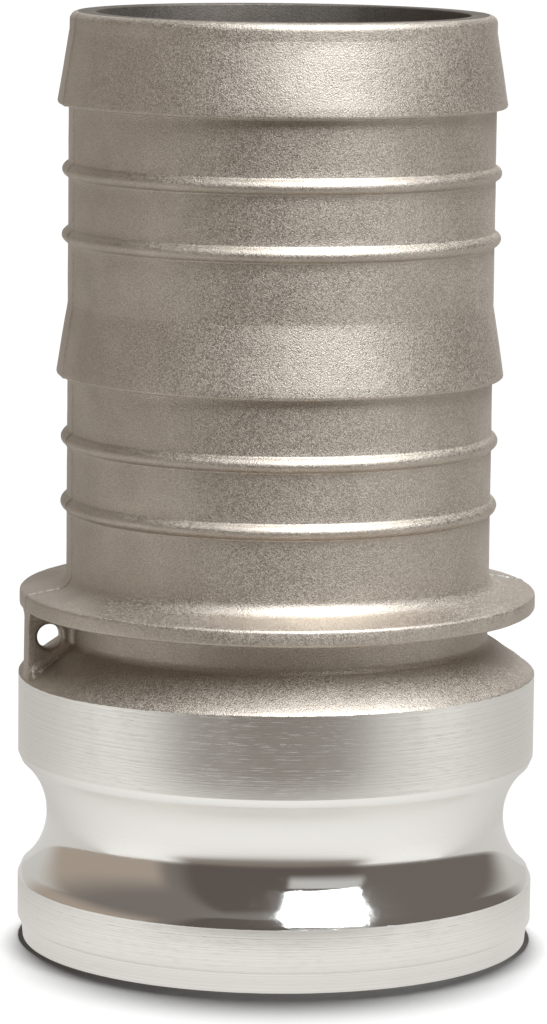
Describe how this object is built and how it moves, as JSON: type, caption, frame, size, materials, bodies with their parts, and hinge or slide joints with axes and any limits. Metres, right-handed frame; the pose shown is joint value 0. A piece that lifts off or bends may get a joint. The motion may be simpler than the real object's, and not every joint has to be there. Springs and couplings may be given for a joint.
{
  "type": "cam and groove coupling",
  "caption": "One-piece cast aluminium male cam and groove adapter with a machined grooved head, collar flange, drilled lug and a barbed and ribbed hose shank.",
  "frame": {"origin": "on the waterway's axis, at the sealing face that the part stands on", "axes": "+Z along the waterway from the grooved head to the hose end; the lug stands out on -X, in the mould's parting plane XZ"},
  "size_m": [0.0914, 0.0914, 0.1642],
  "materials": {
    "cast_aluminium": "shot-blasted casting, with the head turned bright up to the shoulder"
  },
  "bodies": {
    "root": {"adapter": "cast_aluminium"}
  },
  "joints": []
}
